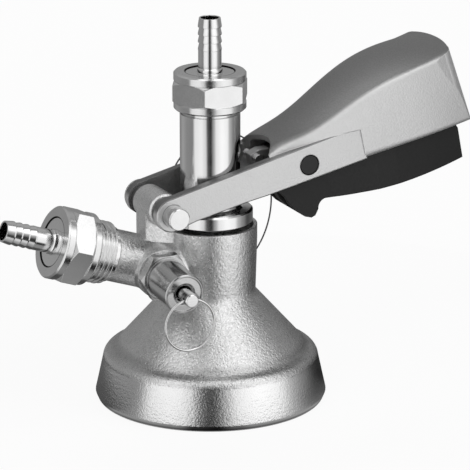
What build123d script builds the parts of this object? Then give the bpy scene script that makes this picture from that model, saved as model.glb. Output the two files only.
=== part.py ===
from build123d import *
import math
import os

os.makedirs("parts", exist_ok=True)

# Keg coupler of the slide-on kind, in millimetres. The probe axis is Z and the foot of the
# bell stands on Z = 0. The lever points to +X, the gas inlet to -X, the relief valve to -Y,
# and the bell slides onto the keg through the opening at +Y.

# ---- fits ----
running_clearance = 0.06      # radial, shaft in its hole
sliding_clearance = 0.10      # radial, probe in its guide
free_clearance = 0.35         # between pieces that pass each other
ring_clearance = 0.30         # hose tail's shoulder in the nut's mouth
face_clearance = 0.10         # between flat faces that turn on each other

# ---- bell and neck casting ----
base_radius = 50.4
foot_radius = 49.4
foot_chamfer = 2.4
band_height = 19.0
band_top_radius = 47.0
shoulder_radius = 43.4
shoulder_height = 22.2
cone_foot_radius = 40.6
cone_foot_height = 24.0
neck_foot_radius = 19.6
neck_foot_height = 47.6
neck_height = 77.4
neck_radius = 20.3

# ---- keg flange pocket in the bell ----
flange_radius = 37.0
flange_floor = 7.0
flange_roof = 15.0
lip_radius = 31.0

# ---- lever geometry ----
fulcrum_x = -25.3
fulcrum_z = 88.6
lever_tilt = 12.8
fulcrum_pin_radius = 4.8
fulcrum_pin_end = 24.2
fulcrum_pin_rear = 19.8
clip_groove_radius = 4.0
clip_radius = 7.0
clip_thickness = 0.8
barrel_radius = 7.3
barrel_half_length = 9.3
barrel_edge = 0.8
spacer_radius = 6.1
post_width = 10.0
post_back_x = -32.6

arm_inner = 13.1
arm_thickness = 4.1
arm_top = 8.2
arm_bottom_near = -6.4
arm_bottom = -6.9
eye_radius = 7.4
arm_panel_end = 92.5

# ---- probe ----
probe_radius = 13.0
probe_tip_z = 17.0
probe_shoulder_z = 128.6
probe_bore_radius = 5.2
probe_head_bore_radius = 9.0
collar_radius = 18.4
collar_top = 85.0
collar_bottom = 79.0
drive_boss_radius = 4.0
drive_boss_depth = 1.8
neck_bore_floor = 69.2
gas_chamber_radius = 15.6
gas_chamber_bottom = 23.0
gas_chamber_top = 61.0
valve_bore_radius = 14.6
seal_seat_radius = 21.4
seal_seat_depth = 3.4
ring_section_radius = 1.25
probe_seal_outer = 10.4
probe_seal_inner = 7.4
probe_seal_depth = 2.6
ball_radius = 6.4
ball_lift = 3.0
seat_z = 106.6
seat_cone_height = 4.0

# ---- hose fittings, the same on beer and gas sides ----
nut_height = 16.4
nut_flats = 30.0
nut_collar_radius = 15.6
nut_lower_collar = 3.2
nut_hex_height = 9.7
nut_lip = 2.4
male_end = 6.0
thread_radius = 13.6
thread_relief_depth = 1.6
tail_length = 23.1
tail_radius = 5.1
tail_root_radius = 4.5
tail_bore_radius = 3.9
tail_flange_margin = 1.2      # radial, flange edge to the crest of the thread
tail_flange_hold = 1.65       # radial, how far the nut's lip covers the flange
barb_pitch = 3.3
barb_count = 4
washer_thickness = 1.6
beer_nut_face = 145.2
gas_tilt = 19.0
gas_axis_z = 53.4
gas_nut_face = 77.8
gas_branch_radius = 11.3
gas_branch_end = 51.0
gas_socket_radius = 9.0
gas_socket_depth = 5.0
gas_thread_start = 53.4
gas_bore_radius = 5.5
beer_nut_turn = -2.0
gas_nut_turn = 4.0

# ---- relief valve ----
relief_x = -29.2
relief_droop = 5.0
relief_boss_radius = 10.8
relief_boss_end = 13.6
relief_hex_flats = 19.6
relief_hex_end = 18.4
relief_body_radius = 8.8
relief_bore_radius = 6.2
relief_cap_thickness = 3.5
relief_stem_radius = 4.5
relief_stem_length = 6.0
relief_end = 37.7
relief_hole_radius = 3.7
relief_pin_radius = 2.95
relief_pin_end = 45.4
relief_pin_start = 14.8
relief_disc_thickness = 3.0
relief_travel = 2.0
relief_spring_radius = 4.4
relief_spring_wire = 1.1
relief_spring_pitch = 2.5
relief_ring_radius = 11.2
relief_ring_wire = 0.55
relief_ring_hole = 1.15
relief_ring_from_tip = 2.6

# ---- hood and trigger, along (s) and across (t) the lever ----
hood_wall = 2.6
hood_front = 50.0
hood_end = 147.4
hood_end_bulge = 2.2
hood_end_half = 15.4
hood_side_half = 19.4
hood_corner_run = 4.2
hood_end_lean = 7.0
mouth_centre = 38.0
mouth_radius = 18.0
trigger_pivot_s = 66.1
trigger_pivot_t = -0.2
trigger_pin_radius = 4.6
trigger_pin_edge = 0.4
trigger_setback = 7.2
trigger_half_width = 14.2
trigger_nose_half_width = 10.8
trigger_pocket_radius = 7.0
trigger_spring_radius = 5.4
trigger_spring_wire = 1.1
trigger_spring_length = 4.6
latch_pin_s = 48.4
latch_pin_t = 5.75
latch_pin_radius = 2.15
latch_pin_half_length = 6.2

# ---- thin wire loop behind the neck ----
keeper_x = 14.0
keeper_y = 22.0
keeper_z = 78.0
keeper_half_width = 26.0
keeper_half_height = 33.0
keeper_wire_radius = 0.35
keeper_lug_radius = 2.2


def section(frame):
    """The half-plane for turning a profile: x is the radius, y runs along the frame's axis."""
    return Plane(origin=frame.origin, x_dir=frame.x_dir, z_dir=-frame.y_dir)


def turn(frame, points, mode=Mode.ADD):
    """Turn a closed outline of (radius, height) points into the part being built."""
    with BuildSketch(section(frame)) as profile:
        with BuildLine():
            Polyline(*points, close=True)
        make_face()
    revolve(profile.sketch, axis=Axis(frame.origin, frame.z_dir), mode=mode)


def finish(builder, label):
    """Name a finished piece and write its file."""
    builder.part.label = label
    export_step(builder.part, f"parts/{label}.step")


# ---- frames ----
tilt = math.radians(lever_tilt)
lever_dir = Vector(math.cos(tilt), 0, math.sin(tilt))
fulcrum = Vector(fulcrum_x, 0, fulcrum_z)
lever_side = Plane(origin=fulcrum, x_dir=lever_dir, z_dir=(0, -1, 0))
lever_up = lever_side.y_dir

gas_dir = Vector(-math.cos(math.radians(gas_tilt)), 0, math.sin(math.radians(gas_tilt)))
gas_origin = Vector(0, 0, gas_axis_z)
gas_axis_frame = Plane(origin=gas_origin, x_dir=(0, 1, 0), z_dir=gas_dir)
gas_frame = gas_axis_frame.offset(gas_nut_face)
beer_frame = Plane.XY.offset(beer_nut_face)
thread_root = thread_radius - thread_relief_depth
flange_edge = thread_radius - tail_flange_margin
mouth_bore = flange_edge - tail_flange_hold

droop = math.radians(relief_droop)
relief_dir = Vector(0, -math.cos(droop), -math.sin(droop))
relief_origin = Vector(relief_x, 0, gas_axis_z - relief_x * math.tan(math.radians(gas_tilt)))
relief_frame = Plane(origin=relief_origin, x_dir=(1, 0, 0), z_dir=relief_dir)

drive_s = -fulcrum_x / math.cos(tilt)
drive_z = fulcrum_z - fulcrum_x * math.tan(tilt)
neck_bore_radius = collar_radius + free_clearance
guide_radius = probe_radius + sliding_clearance
arm_outer = arm_inner + arm_thickness
ball_z = seat_z + math.sqrt(ball_radius ** 2 - probe_bore_radius ** 2) + 0.02
ring_groove_z = (neck_bore_floor + gas_chamber_top) / 2 + 0.8


# ---- coupler body ----
with BuildPart() as coupler_body:
    with BuildSketch(Plane.XZ):
        with BuildLine():
            foot = Polyline(
                (0, 0),
                (foot_radius, 0),
                (base_radius, foot_chamfer),
                (band_top_radius, band_height - 1.2),
            )
            edge = ThreePointArc(foot @ 1, (band_top_radius - 0.9, band_height + 1.0),
                                 (shoulder_radius, shoulder_height - 0.5))
            hollow = ThreePointArc(edge @ 1, (cone_foot_radius + 1.1, shoulder_height + 0.5),
                                   (cone_foot_radius, cone_foot_height))
            cone = Line(hollow @ 1, (neck_foot_radius, neck_foot_height))
            Polyline(cone @ 1, (neck_radius, neck_height - 6), (neck_radius, neck_height),
                     (0, neck_height), (0, 0))
        make_face()
    revolve(axis=Axis.Z)
    # gas branch
    turn(gas_axis_frame, [
        (0, 0),
        (gas_branch_radius + 1.4, 0),
        (gas_branch_radius + 1.4, 24),
        (gas_branch_radius, 34),
        (gas_branch_radius, gas_branch_end - 0.6),
        (gas_branch_radius - 0.6, gas_branch_end),
        (0, gas_branch_end),
    ])
    # relief valve boss on the branch
    with BuildSketch(relief_frame):
        Circle(relief_boss_radius)
    extrude(amount=relief_boss_end)
    # bracket post and barrel for the fulcrum
    with BuildSketch(Plane.XZ):
        with BuildLine():
            Polyline(
                (post_back_x, gas_axis_z - post_back_x * math.tan(math.radians(gas_tilt))),
                (post_back_x, fulcrum_z),
                (fulcrum_x + 4.0, fulcrum_z),
                (-neck_radius + 0.6, neck_height),
                (-neck_radius + 2.0, gas_axis_z),
                close=True,
            )
        make_face()
    extrude(amount=post_width / 2, both=True)
    with BuildSketch(Plane.XZ):
        with Locations((fulcrum_x, fulcrum_z)):
            Circle(barrel_radius)
    extrude(amount=barrel_half_length, both=True)
    for end in (0, -1):
        rim = coupler_body.edges().filter_by(GeomType.CIRCLE).filter_by(
            lambda e: abs(e.radius - barrel_radius) < 0.01 and abs(abs(e.center().Y)
                                                                   - barrel_half_length) < 0.01)
        chamfer(rim.sort_by(Axis.Y)[end], barrel_edge)
    # lug for the thin wire loop
    with BuildSketch(Plane.YZ.offset(keeper_x)):
        with Locations((keeper_y, keeper_z - keeper_half_height)):
            Circle(keeper_lug_radius)
        with Locations((keeper_y, keeper_z - keeper_half_height - 4)):
            Rectangle(2 * keeper_lug_radius, 8)
    extrude(amount=2.0, both=True)
    # bores down the axis
    turn(Plane.XY, [
        (neck_bore_radius, neck_height + 3),
        (neck_bore_radius, neck_bore_floor),
        (guide_radius, neck_bore_floor),
        (guide_radius, gas_chamber_top + 1.6),
        (gas_chamber_radius, gas_chamber_top),
        (gas_chamber_radius, gas_chamber_bottom + 3),
        (valve_bore_radius, gas_chamber_bottom),
        (valve_bore_radius, flange_roof),
        (0, flange_roof),
        (0, neck_height + 3),
    ], mode=Mode.SUBTRACT)
    # keg flange pocket and its slide-on opening
    with BuildSketch(Plane.XY.offset(flange_floor)):
        Circle(flange_radius)
        with Locations((0, base_radius / 2 + 5)):
            Rectangle(2 * flange_radius, base_radius + 10)
    extrude(amount=flange_roof - flange_floor, mode=Mode.SUBTRACT)
    with BuildSketch(Plane.XY):
        Circle(lip_radius)
        with Locations((0, base_radius / 2 + 5)):
            Rectangle(2 * lip_radius, base_radius + 10)
    extrude(amount=flange_floor, mode=Mode.SUBTRACT)
    # seal seat around the valve bore
    with BuildSketch(Plane.XY.offset(flange_roof)):
        Circle(seal_seat_radius)
    extrude(amount=seal_seat_depth, mode=Mode.SUBTRACT)
    # gas passage with the spigot's socket, relief passage, fulcrum bore, wire lug's hole
    with BuildSketch(gas_axis_frame.offset(probe_radius)):
        Circle(gas_bore_radius)
    extrude(amount=gas_branch_end, mode=Mode.SUBTRACT)
    with BuildSketch(gas_axis_frame.offset(gas_branch_end)):
        Circle(gas_socket_radius)
    extrude(amount=-gas_socket_depth, mode=Mode.SUBTRACT)
    with BuildSketch(relief_frame.offset(relief_boss_end)):
        Circle(relief_stem_radius)
    extrude(amount=-relief_boss_end, mode=Mode.SUBTRACT)
    with BuildSketch(Plane.YZ.offset(keeper_x)):
        with Locations((keeper_y, keeper_z - keeper_half_height)):
            Circle(keeper_wire_radius + 0.15)
    extrude(amount=5.0, both=True, mode=Mode.SUBTRACT)
    with BuildSketch(Plane.XZ):
        with Locations((fulcrum_x, fulcrum_z)):
            Circle(fulcrum_pin_radius)
    extrude(amount=barrel_half_length + 1, both=True, mode=Mode.SUBTRACT)
    # gland groove for the neck ring
    with BuildSketch(Plane.XZ):
        with Locations((guide_radius + ring_section_radius, ring_groove_z)):
            Rectangle(2 * ring_section_radius + 0.4, 2 * ring_section_radius + 0.3)
    revolve(axis=Axis.Z, mode=Mode.SUBTRACT)
finish(coupler_body, "coupler_body")

# ---- threaded spigot pressed into the gas branch ----
with BuildPart() as gas_spigot:
    turn(gas_axis_frame, [
        (gas_bore_radius, gas_branch_end - gas_socket_depth),
        (gas_socket_radius, gas_branch_end - gas_socket_depth),
        (gas_socket_radius, gas_branch_end),
        (thread_root, gas_branch_end),
        (thread_root, gas_thread_start),
        (thread_radius - 0.6, gas_thread_start),
        (thread_radius, gas_thread_start + 0.6),
        (thread_radius, gas_nut_face - male_end),
        (gas_bore_radius, gas_nut_face - male_end),
    ])
finish(gas_spigot, "gas_spigot")

# ---- thin wire loop held in the lug behind the neck ----
loop_plane = Plane(origin=(keeper_x, keeper_y, keeper_z), x_dir=(1, 0, 0), z_dir=(0, -1, 0))
loop_path = (loop_plane * Ellipse(keeper_half_width, keeper_half_height)).wires()[0]
loop_start = Vector(keeper_x + keeper_half_width, keeper_y, keeper_z)
with BuildPart() as keeper_wire:
    with BuildSketch(Plane(origin=loop_start, x_dir=(1, 0, 0), z_dir=(0, 0, 1))) as wire_disc:
        Circle(keeper_wire_radius)
    sweep(wire_disc.sketch, path=loop_path)
finish(keeper_wire, "keeper_wire")


# ---- probe, with its collar and drive slots ----
with BuildPart() as probe:
    turn(Plane.XY, [
        (0, probe_tip_z),
        (probe_radius - 1.0, probe_tip_z),
        (probe_radius, probe_tip_z + 1.0),
        (probe_radius, collar_bottom - 0.6),
        (probe_radius + 0.6, collar_bottom),
        (collar_radius - 0.4, collar_bottom),
        (collar_radius, collar_bottom + 0.4),
        (collar_radius, collar_top - 0.8),
        (collar_radius - 0.8, collar_top),
        (probe_radius + 1.0, collar_top),
        (probe_radius, collar_top + 1.0),
        (probe_radius, probe_shoulder_z - 1.6),
        (thread_root, probe_shoulder_z - 1.6),
        (thread_root, probe_shoulder_z + 1.4),
        (thread_radius, probe_shoulder_z + 1.4),
        (thread_radius, beer_nut_face - male_end),
        (0, beer_nut_face - male_end),
    ])
    # beer bore, widened at the top for the check ball and at the tip for the seal
    turn(Plane.XY, [
        (0, probe_tip_z),
        (probe_bore_radius, probe_tip_z),
        (probe_bore_radius, seat_z),
        (probe_head_bore_radius, seat_z + seat_cone_height),
        (probe_head_bore_radius, beer_nut_face - male_end),
        (0, beer_nut_face - male_end),
    ], mode=Mode.SUBTRACT)
    with BuildSketch(Plane.XY.offset(probe_tip_z)):
        Circle(probe_seal_outer)
        Circle(probe_seal_inner, mode=Mode.SUBTRACT)
    extrude(amount=probe_seal_depth, mode=Mode.SUBTRACT)
    # slots across both sides, where the lever's bosses press
    slot_reach = arm_inner - drive_boss_depth - free_clearance
    for side in (-1, 1):
        with BuildSketch(Plane.XZ.offset(-side * slot_reach)):
            with Locations((0, drive_z)):
                Rectangle(2 * probe_radius, 2 * (drive_boss_radius + free_clearance))
        extrude(amount=-side * (probe_radius - slot_reach + 1), mode=Mode.SUBTRACT)
finish(probe, "probe")

with BuildPart() as probe_seal:
    with BuildSketch(Plane.XY.offset(probe_tip_z + probe_seal_depth)):
        Circle(probe_seal_outer)
        Circle(probe_seal_inner, mode=Mode.SUBTRACT)
    extrude(amount=-probe_seal_depth - 1.6)
    chamfer(probe_seal.faces().sort_by(Axis.Z)[0].edges(), 0.5)
finish(probe_seal, "probe_seal")


def make_nut(frame, corner_turn, label):
    """Union nut: a hexagon between two round collars, with the hexagon's corners turned off."""
    corner = nut_flats / math.sqrt(3)
    hex_low = nut_lower_collar - nut_height
    hex_high = hex_low + nut_hex_height
    chamfer_drop = 1.5
    with BuildPart() as nut:
        with BuildSketch(frame.offset(hex_low)):
            RegularPolygon(nut_flats / 2, 6, major_radius=False, rotation=corner_turn)
        extrude(amount=nut_hex_height)
        turn(frame, [
            (0, hex_low),
            (nut_flats / 2, hex_low),
            (corner + 0.1, hex_low + chamfer_drop),
            (corner + 0.1, hex_high - chamfer_drop),
            (nut_flats / 2, hex_high),
            (0, hex_high),
        ], mode=Mode.INTERSECT)
        turn(frame, [
            (0, -nut_height),
            (nut_collar_radius - 0.7, -nut_height),
            (nut_collar_radius, -nut_height + 0.7),
            (nut_collar_radius, hex_low),
            (nut_flats / 2, hex_low + 0.3),
            (nut_flats / 2, hex_high - 0.3),
            (nut_collar_radius, hex_high),
            (nut_collar_radius, -0.7),
            (nut_collar_radius - 0.7, 0),
            (0, 0),
        ])
        turn(frame, [
            (0, -nut_height),
            (thread_radius + running_clearance + 0.6, -nut_height),
            (thread_radius + running_clearance, -nut_height + 0.6),
            (thread_radius + running_clearance, -nut_lip),
            (mouth_bore, -nut_lip),
            (mouth_bore, 0),
            (0, 0),
        ], mode=Mode.SUBTRACT)
    finish(nut, label)


def make_tail(frame, label):
    """Hose tail: flange held by the nut, stepped shank and a row of barbs."""
    seat = washer_thickness - male_end
    shoulder = -nut_lip - face_clearance
    crest = tail_radius
    outline = [
        (tail_bore_radius, seat),
        (flange_edge, seat),
        (flange_edge, shoulder),
        (mouth_bore - ring_clearance, shoulder),
        (mouth_bore - ring_clearance, -0.4),
        (crest + 0.5, -0.4),
        (crest + 0.3, 1.0),
        (crest - 0.1, 1.6),
        (crest - 0.1, tail_length - barb_count * barb_pitch - 0.6),
    ]
    for barb in range(barb_count):
        foot = tail_length - (barb_count - barb) * barb_pitch - 0.6
        outline.append((crest, foot))
        outline.append((crest, foot + 0.5))
        outline.append((tail_root_radius, foot + barb_pitch))
    outline[-1] = (tail_root_radius + 0.1, tail_length)
    outline.append((tail_bore_radius, tail_length))
    with BuildPart() as tail:
        turn(frame, outline)
    finish(tail, label)


def make_washer(frame, label):
    """Flat sealing washer between the tail's flange and the male thread's end."""
    with BuildPart() as washer:
        with BuildSketch(frame.offset(-male_end)):
            Circle(flange_edge - 0.6)
            Circle(tail_bore_radius + 1.4, mode=Mode.SUBTRACT)
        extrude(amount=washer_thickness)
    finish(washer, label)


def make_spring(frame, radius, wire, pitch, length, label):
    """Coil spring: round wire swept along a helix that stands on the frame."""
    with BuildPart() as spring:
        with BuildLine() as coil:
            turns = Helix(pitch, length, radius, center=frame.origin, direction=frame.z_dir)
        with BuildSketch(Plane(origin=turns @ 0, z_dir=turns % 0)) as wire_section:
            Circle(wire / 2)
        sweep(wire_section.sketch, path=coil.wires()[0], is_frenet=True)
    finish(spring, label)


make_nut(beer_frame, beer_nut_turn, "beer_nut")
make_nut(gas_frame, gas_nut_turn, "gas_nut")
for side_name, side_frame in (("beer", beer_frame), ("gas", gas_frame)):
    make_tail(side_frame, f"{side_name}_tail")
    make_washer(side_frame, f"{side_name}_washer")

# ---- check ball on its seat, and the cage above it ----
with BuildPart() as check_ball:
    with Locations((0, 0, ball_z)):
        Sphere(ball_radius)
finish(check_ball, "check_ball")

cage_wall = 1.4
cage_stop_z = ball_z + ball_radius + ball_lift + face_clearance
cage_port_radius = 3.2
with BuildPart() as ball_cage:
    turn(Plane.XY, [
        (probe_head_bore_radius - cage_wall, ball_z + 1),
        (probe_head_bore_radius, ball_z + 1),
        (probe_head_bore_radius, beer_nut_face - male_end),
        (probe_head_bore_radius - cage_wall, beer_nut_face - male_end),
        (probe_head_bore_radius - cage_wall, cage_stop_z + 1.6),
        (cage_port_radius, cage_stop_z + 1.6),
        (cage_port_radius, cage_stop_z),
        (probe_head_bore_radius - cage_wall, cage_stop_z),
    ])
    with BuildSketch(Plane.XY.offset(ball_z + 1)):
        with PolarLocations(probe_head_bore_radius - 3, 3):
            Rectangle(2 * cage_port_radius + 1, 4)
    extrude(amount=cage_stop_z - ball_z + 2, mode=Mode.SUBTRACT)
finish(ball_cage, "ball_cage")

# ---- seals in the body ----
with BuildPart() as body_seal:
    with BuildSketch(Plane.XY.offset(flange_roof + seal_seat_depth)):
        Circle(seal_seat_radius)
        Circle(valve_bore_radius, mode=Mode.SUBTRACT)
    extrude(amount=-seal_seat_depth - 1.0)
    chamfer(body_seal.faces().sort_by(Axis.Z)[0].edges(), 0.7)
finish(body_seal, "body_seal")

with BuildPart() as neck_ring:
    with BuildSketch(Plane.XZ):
        with Locations((guide_radius + ring_section_radius, ring_groove_z)):
            Circle(ring_section_radius)
    revolve(axis=Axis.Z)
finish(neck_ring, "neck_ring")

# ---- rubber check valve in the gas spigot: a skirt with a slit tip ----
valve_lip = -male_end
with BuildPart() as gas_check_valve:
    turn(gas_frame, [
        (0, valve_lip - 10.0),
        (1.2, valve_lip - 10.0),
        (gas_bore_radius, valve_lip - 3.8),
        (gas_bore_radius, valve_lip),
        (gas_bore_radius - 1.6, valve_lip),
        (gas_bore_radius - 2.2, valve_lip - 4.0),
        (0, valve_lip - 7.4),
    ])
finish(gas_check_valve, "gas_check_valve")

# ---- relief valve: screwed body, sprung pin with a cross hole, pull ring ----
with BuildPart() as relief_body:
    hex_corner = relief_hex_flats / math.sqrt(3)
    with BuildSketch(relief_frame.offset(relief_boss_end)):
        RegularPolygon(relief_hex_flats / 2, 6, major_radius=False, rotation=0)
    extrude(amount=relief_hex_end - relief_boss_end)
    turn(relief_frame, [
        (0, relief_boss_end),
        (relief_hex_flats / 2, relief_boss_end),
        (hex_corner + 0.1, relief_boss_end + 1.0),
        (hex_corner + 0.1, relief_hex_end - 1.0),
        (relief_hex_flats / 2, relief_hex_end),
        (0, relief_hex_end),
    ], mode=Mode.INTERSECT)
    turn(relief_frame, [
        (0, relief_boss_end - relief_stem_length),
        (relief_stem_radius, relief_boss_end - relief_stem_length),
        (relief_stem_radius, relief_boss_end),
        (relief_body_radius, relief_hex_end),
        (relief_body_radius, relief_end - 0.5),
        (relief_body_radius - 0.5, relief_end),
        (relief_body_radius - 1.0, relief_end),
        (relief_body_radius - 1.2, relief_end - 0.5),
        (relief_hole_radius + 1.2, relief_end - 0.5),
        (relief_hole_radius + 0.2, relief_end - 1.4),
        (0, relief_end - 1.4),
    ])
    turn(relief_frame, [
        (0, relief_boss_end - relief_stem_length),
        (relief_stem_radius / 2, relief_boss_end - relief_stem_length),
        (relief_stem_radius / 2, relief_pin_start - face_clearance),
        (relief_bore_radius, relief_pin_start - face_clearance),
        (relief_bore_radius, relief_end - relief_cap_thickness),
        (relief_hole_radius, relief_end - relief_cap_thickness),
        (relief_hole_radius, relief_end),
        (0, relief_end),
    ], mode=Mode.SUBTRACT)
finish(relief_body, "relief_body")

disc_radius = relief_bore_radius - sliding_clearance
disc_end = relief_pin_start + relief_disc_thickness
with BuildPart() as relief_pin:
    turn(relief_frame, [
        (0, relief_pin_start),
        (disc_radius, relief_pin_start),
        (disc_radius, disc_end),
        (relief_pin_radius, disc_end),
        (relief_pin_radius, relief_pin_end - 0.4),
        (relief_pin_radius - 0.4, relief_pin_end),
        (0, relief_pin_end),
    ])
    ring_hole = relief_frame.offset(relief_pin_end - relief_ring_from_tip)
    with BuildSketch(Plane(origin=ring_hole.origin, x_dir=ring_hole.z_dir, z_dir=(1, 0, 0))):
        Circle(relief_ring_hole)
    extrude(amount=relief_pin_radius + 1, both=True, mode=Mode.SUBTRACT)
finish(relief_pin, "relief_pin")

spring_foot = disc_end + relief_spring_wire / 2 + face_clearance
spring_room = relief_end - relief_cap_thickness - relief_travel - relief_spring_wire
make_spring(relief_frame.offset(spring_foot), relief_spring_radius, relief_spring_wire,
            relief_spring_pitch, spring_room - spring_foot, "relief_spring")

with BuildPart() as pull_ring:
    hang_drop = relief_ring_radius + 0.1
    hang = ring_hole.origin - Vector(0, 0, hang_drop)
    with BuildSketch(Plane(origin=hang, x_dir=(0, -1, 0), z_dir=(1, 0, 0))):
        with Locations((0, relief_ring_radius)):
            Circle(relief_ring_wire)
    revolve(axis=Axis(hang, (0, 1, 0)))
finish(pull_ring, "pull_ring")

# ---- fulcrum pin and the clip in its rear groove ----
clip_y = arm_outer + free_clearance
with BuildPart() as fulcrum_pin:
    with BuildSketch(Plane.XZ.offset(fulcrum_pin_end)):
        with Locations((fulcrum_x, fulcrum_z)):
            Circle(fulcrum_pin_radius)
    extrude(amount=-(fulcrum_pin_end + fulcrum_pin_rear))
    chamfer(fulcrum_pin.faces().sort_by(Axis.Y)[0].edges(), 0.4)
    chamfer(fulcrum_pin.faces().sort_by(Axis.Y)[-1].edges(), 0.4)
    with BuildSketch(Plane.XZ.offset(-clip_y)):
        with Locations((fulcrum_x, fulcrum_z)):
            Circle(fulcrum_pin_radius + 1)
            Circle(clip_groove_radius, mode=Mode.SUBTRACT)
    extrude(amount=-clip_thickness, mode=Mode.SUBTRACT)
finish(fulcrum_pin, "fulcrum_pin")

for place, side in (("front", 1), ("rear", -1)):
    with BuildPart() as spacer:
        with BuildSketch(Plane.XZ.offset(side * barrel_half_length)):
            with Locations((fulcrum_x, fulcrum_z)):
                Circle(spacer_radius)
                Circle(fulcrum_pin_radius, mode=Mode.SUBTRACT)
        extrude(amount=side * (arm_inner - face_clearance - barrel_half_length))
    finish(spacer, f"fulcrum_spacer_{place}")

with BuildPart() as fulcrum_clip:
    with BuildSketch(Plane.XZ.offset(-clip_y)):
        with Locations((fulcrum_x, fulcrum_z)):
            Circle(clip_radius)
            Circle(clip_groove_radius, mode=Mode.SUBTRACT)
        with Locations((fulcrum_x, fulcrum_z - clip_radius)):
            Rectangle(2 * clip_groove_radius - 1, 2 * clip_radius, mode=Mode.SUBTRACT)
    extrude(amount=-clip_thickness)
finish(fulcrum_clip, "fulcrum_clip")


# ---- lever handle: two arms and the hollow grip hood ----
def lever_section(s):
    """Plane across the lever at s: x is across the machine, y is the lever's upward side."""
    return Plane(origin=fulcrum + lever_dir * s, x_dir=(0, 1, 0), z_dir=lever_dir)


# The hood's sections, drawn for a hood 97.4 long and spread along the lever to suit its length:
# (s, top edge, half-width at the top edge, half-width at the foot, edge radius, crown)
hood_drawn_length = 97.4
hood_stretch = (hood_end - hood_front) / hood_drawn_length
hood_sections = [
    (hood_front, 10.3, 14.0, 14.2, 3.0, 0.8),
    (62, 12.7, 14.6, 15.2, 3.4, 1.6),
    (73, 13.9, 16.2, 16.4, 3.4, 4.6),
    (85, 17.4, 17.4, 17.2, 3.4, 6.6),
    (97, 21.3, 18.6, 17.6, 3.2, 7.6),
    (120, 25.4, 20.2, 18.8, 2.8, 7.4),
    (136, 27.2, 20.2, 18.8, 2.6, 3.8),
    (151, 28.4, 19.6, 18.4, 2.6, 0.5),
]
hood_corner = hood_end - hood_end_bulge


def hood_profile(s, top, half_top, half_foot, corner, crown, foot):
    """One cross-section of the hood: upright sides, rounded shoulders and a crowned top."""
    with BuildSketch(lever_section(s)) as profile:
        with BuildLine():
            Line((half_foot, foot), (half_top, top))
            ThreePointArc((half_top, top), (0, top + crown), (-half_top, top))
            Line((-half_top, top), (-half_foot, foot))
            Line((-half_foot, foot), (half_foot, foot))
        make_face()
        fillet(profile.vertices().group_by(Axis.Z)[-1], corner)
    return profile.sketch


def hood_block(wall, foot):
    """The hood's solid form, taken in all round by the wall: lofted, then cut to its end."""
    end_lean = math.radians(hood_end_lean)
    lean_dir = lever_up * math.cos(end_lean) - lever_dir * math.sin(end_lean)
    plan = Plane(origin=fulcrum + lever_up * arm_bottom, x_dir=(0, -1, 0), z_dir=lean_dir)
    with BuildPart() as block:
        forms = []
        for drawn_s, top, half_top, half_foot, corner, crown in hood_sections:
            s = hood_front + (drawn_s - hood_front) * hood_stretch
            forms.append(hood_profile(s, top - wall, half_top - wall, half_foot - wall,
                                      corner - wall / 2, crown, foot))
        loft(forms)
        with BuildSketch(plan):
            with BuildLine():
                end = hood_corner - wall
                tip = ThreePointArc((hood_end_half, end), (0, hood_end - wall),
                                    (-hood_end_half, end))
                left = ThreePointArc(tip @ 1, (1.2 - hood_side_half, end - 1.2),
                                     (-hood_side_half, end - hood_corner_run))
                right = ThreePointArc(tip @ 0, (hood_side_half - 1.2, end - 1.2),
                                      (hood_side_half, end - hood_corner_run))
                clear = hood_side_half + 3.6
                Polyline(left @ 1, (-clear, hood_corner - 27.2), (-clear, hood_front - 20),
                         (clear, hood_front - 20), (clear, hood_corner - 27.2), right @ 1)
            make_face()
        extrude(amount=45, both=True, mode=Mode.INTERSECT)
    return block.part


with BuildPart() as arm:
    with BuildSketch(lever_side.offset(arm_inner)):
        with BuildLine():
            Polyline(
                (0, -eye_radius + 0.2),
                (10, arm_bottom_near),
                (34, arm_bottom_near),
                (46, arm_bottom),
                (arm_panel_end + 1, arm_bottom),
                (arm_panel_end + 1, arm_top - 1.0),
                (80, arm_top + 0.4),
                (0, eye_radius - 0.05),
                close=True,
            )
        make_face()
        Circle(eye_radius)
    extrude(amount=arm_thickness)
    chamfer(arm.faces().sort_by(Axis.Y)[0].edges(), 0.5)
    # boss that presses in the probe's slot
    with BuildSketch(lever_side.offset(arm_inner)):
        with Locations((drive_s, 0)):
            Circle(drive_boss_radius)
    extrude(amount=-drive_boss_depth)

with BuildPart() as lever_handle:
    add(hood_block(0, arm_bottom))
    add(hood_block(hood_wall, arm_bottom - 2), mode=Mode.SUBTRACT)
    # the hollow opens at the front, round the probe
    with BuildSketch(lever_section(hood_front - 1)):
        with Locations((0, arm_bottom)):
            Rectangle(2 * arm_inner, 2 * (arm_top - arm_bottom - hood_wall))
    extrude(amount=14, mode=Mode.SUBTRACT)
    with BuildSketch(Plane(origin=fulcrum, x_dir=(0, -1, 0), z_dir=lever_up)):
        with Locations((0, mouth_centre)):
            Circle(mouth_radius)
            Rectangle(2 * arm_inner, 2 * mouth_radius + 4, mode=Mode.INTERSECT)
    extrude(amount=20, mode=Mode.SUBTRACT)
    # arms, with flat panels let into the hood's flanks
    add(arm.part)
    mirror(arm.part, about=Plane.XZ)
    for flip in (1, -1):
        panel = Plane(origin=lever_side.offset(flip * arm_outer).origin, x_dir=lever_dir,
                      z_dir=lever_side.z_dir)
        with BuildSketch(panel):
            with BuildLine():
                Polyline(
                    (40, arm_bottom - 1),
                    (arm_panel_end, arm_bottom - 1),
                    (arm_panel_end, arm_top - 1.0),
                    (80, arm_top + 0.4),
                    (40, arm_top + 0.4),
                    close=True,
                )
            make_face()
        extrude(amount=flip * 8, mode=Mode.SUBTRACT)
    # fulcrum bore and trigger pin bore
    with BuildSketch(lever_side):
        Circle(fulcrum_pin_radius + running_clearance)
        with Locations((trigger_pivot_s, trigger_pivot_t)):
            Circle(trigger_pin_radius)
    extrude(amount=arm_outer + 5, both=True, mode=Mode.SUBTRACT)
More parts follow.
